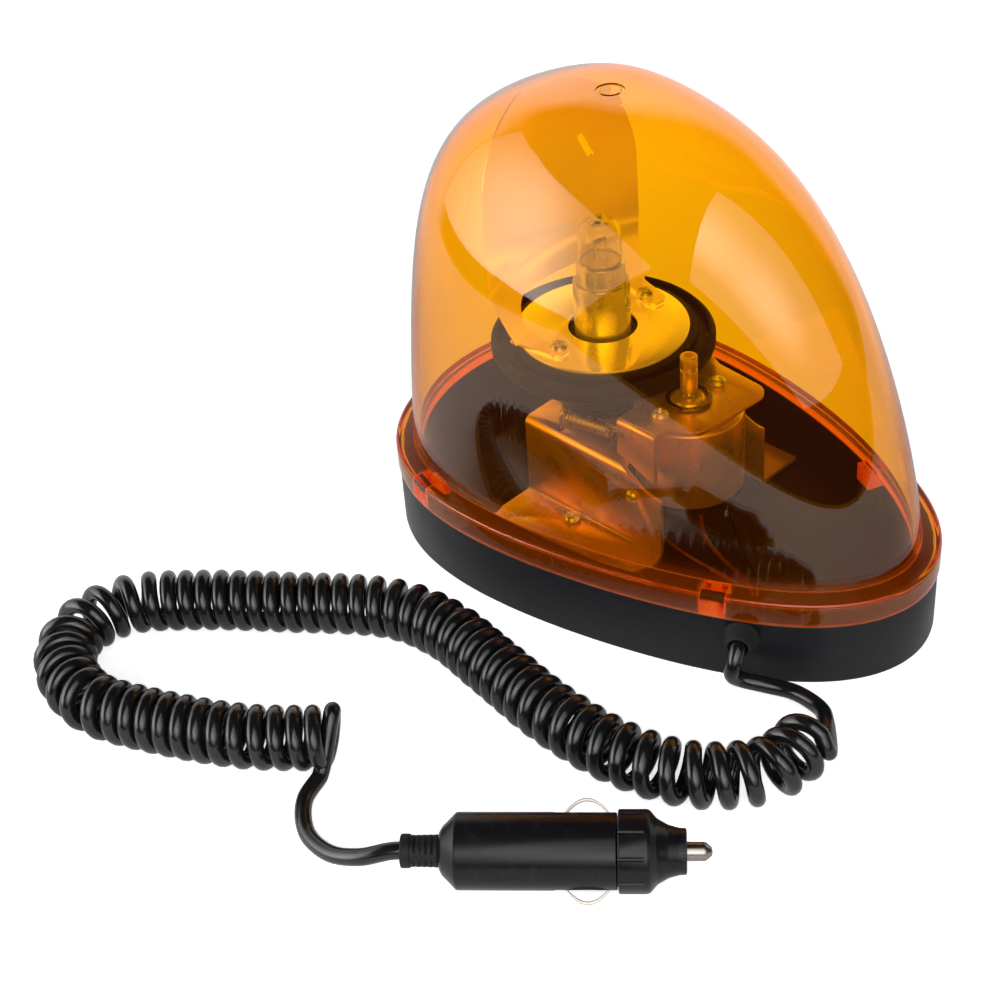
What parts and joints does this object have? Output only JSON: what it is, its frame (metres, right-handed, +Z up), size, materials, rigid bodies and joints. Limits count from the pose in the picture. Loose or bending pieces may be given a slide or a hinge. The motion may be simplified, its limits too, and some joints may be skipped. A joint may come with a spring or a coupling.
{
  "type": "rotating warning beacon",
  "caption": "Magnetic rotating warning beacon: amber teardrop lens, friction-driven reflector round a fixed bulb, coiled cord and accessory plug.",
  "frame": {"origin": "on the rotor's vertical axis, in the plane of the magnet pad's lower face that the beacon rests on", "axes": "+X towards the narrow nose of the housing, +Z up along the rotor's axis, +Y to the left of the nose"},
  "size_m": [0.2075, 0.2403, 0.1432],
  "materials": {
    "black_abs": "moulded satin",
    "amber_lens": "clear amber acrylic",
    "black_rubber": "matt",
    "black_vinyl": "semi-gloss cord jacket",
    "red_vinyl": "single wire insulation",
    "zinc": "zinc plated",
    "plated_steel": "bright plated sheet",
    "spring_steel": "drawn wire",
    "chrome": "mirror",
    "brass": "turned",
    "nickel": "bright nickel",
    "ferrite": "sintered",
    "clear_glass": "clear"
  },
  "bodies": {
    "base": {"base_housing": "black_abs", "lens_screw_1": "zinc", "lens_screw_2": "zinc", "lens_screw_3": "zinc", "lens_screw_4": "zinc", "cord_grommet": "black_rubber", "magnet_yoke": "plated_steel", "magnet_ring": "ferrite", "rubber_pad": "black_rubber", "magnet_bolt": "zinc", "magnet_nut": "zinc", "lens_gasket": "black_rubber", "chassis_bracket": "plated_steel", "chassis_screw_near": "zinc", "chassis_screw_far": "zinc", "chassis_rivet": "zinc", "bearing_bush": "black_abs", "lamp_tube": "plated_steel", "contact_insulator": "black_abs", "contact_spring": "spring_steel", "swing_pin": "spring_steel", "swing_spacer": "brass", "tension_spring": "spring_steel", "coiled_cord": "black_vinyl", "lamp_lead": "red_vinyl", "motor_lead": "red_vinyl", "earth_lead": "black_vinyl", "plug_sleeve": "black_rubber", "plug_body": "black_abs", "plug_spring": "spring_steel"},
    "lens": {"lens_dome": "amber_lens"},
    "bulb": {"bulb_cap": "nickel", "bulb_glass": "clear_glass", "bulb_filament": "spring_steel"},
    "lamp_contact": {"contact_plunger": "brass"},
    "rotor": {"rotor_pulley": "black_abs", "friction_tyre": "black_rubber", "rotor_disc": "chrome", "reflector": "chrome", "disc_screw_near": "zinc", "disc_screw_far": "zinc"},
    "motor": {"motor_plate": "plated_steel", "motor_can": "plated_steel", "motor_end_cap": "black_abs", "motor_boss": "brass", "boss_ring": "plated_steel", "motor_screw_near": "zinc", "motor_screw_far": "zinc"},
    "spindle": {"motor_shaft": "spring_steel", "drive_spindle": "brass"},
    "plug_nose": {"plug_nose": "black_abs"},
    "plug_tip": {"plug_tip": "nickel", "plug_fuse": "clear_glass"},
    "side_contact_upper": {"side_contact_upper": "nickel"},
    "side_contact_lower": {"side_contact_lower": "nickel"}
  },
  "joints": [
    {"name": "rotor_spin", "type": "hinge", "parent": "base", "child": "rotor", "pos_m": [0, 0, 0.06], "axis": [0, 0, 1], "continuous": true},
    {"name": "motor_swing", "type": "hinge", "parent": "base", "child": "motor", "pos_m": [0.017, 0.018, 0.056], "axis": [0, 0, 1], "range_deg": [0, 6], "stiffness_Nm_per_rad": 0.3},
    {"name": "spindle_spin", "type": "hinge", "parent": "motor", "child": "spindle", "pos_m": [0.036, -0.0035, 0.06], "axis": [0, 0, 1], "continuous": true},
    {"name": "lens_lift", "type": "slide", "parent": "base", "child": "lens", "axis": [0, 0, 1], "range_m": [0, 0.12]},
    {"name": "bulb_lift", "type": "slide", "parent": "base", "child": "bulb", "axis": [0, 0, 1], "range_m": [0, 0.02]},
    {"name": "contact_press", "type": "slide", "parent": "base", "child": "lamp_contact", "axis": [0, 0, -1], "range_m": [0, 0.002], "stiffness_N_per_m": 200},
    {"name": "plug_nose_slide", "type": "slide", "parent": "base", "child": "plug_nose", "axis": [0.7593, 0.6508, 0], "range_m": [0, 0.008]},
    {"name": "plug_tip_press", "type": "slide", "parent": "plug_nose", "child": "plug_tip", "axis": [-0.7593, -0.6508, 0], "range_m": [0, 0.003], "stiffness_N_per_m": 400},
    {"name": "side_upper_press", "type": "slide", "parent": "base", "child": "side_contact_upper", "axis": [0.4836, -0.5642, -0.6691], "range_m": [0, 0.002], "stiffness_N_per_m": 400},
    {"name": "side_lower_press", "type": "slide", "parent": "base", "child": "side_contact_lower", "axis": [-0.4836, 0.5642, 0.6691], "range_m": [0, 0.002], "stiffness_N_per_m": 400}
  ],
  "couplings": [
    {"joint": "spindle_spin", "follows": "rotor_spin", "ratio": -13.36}
  ]
}
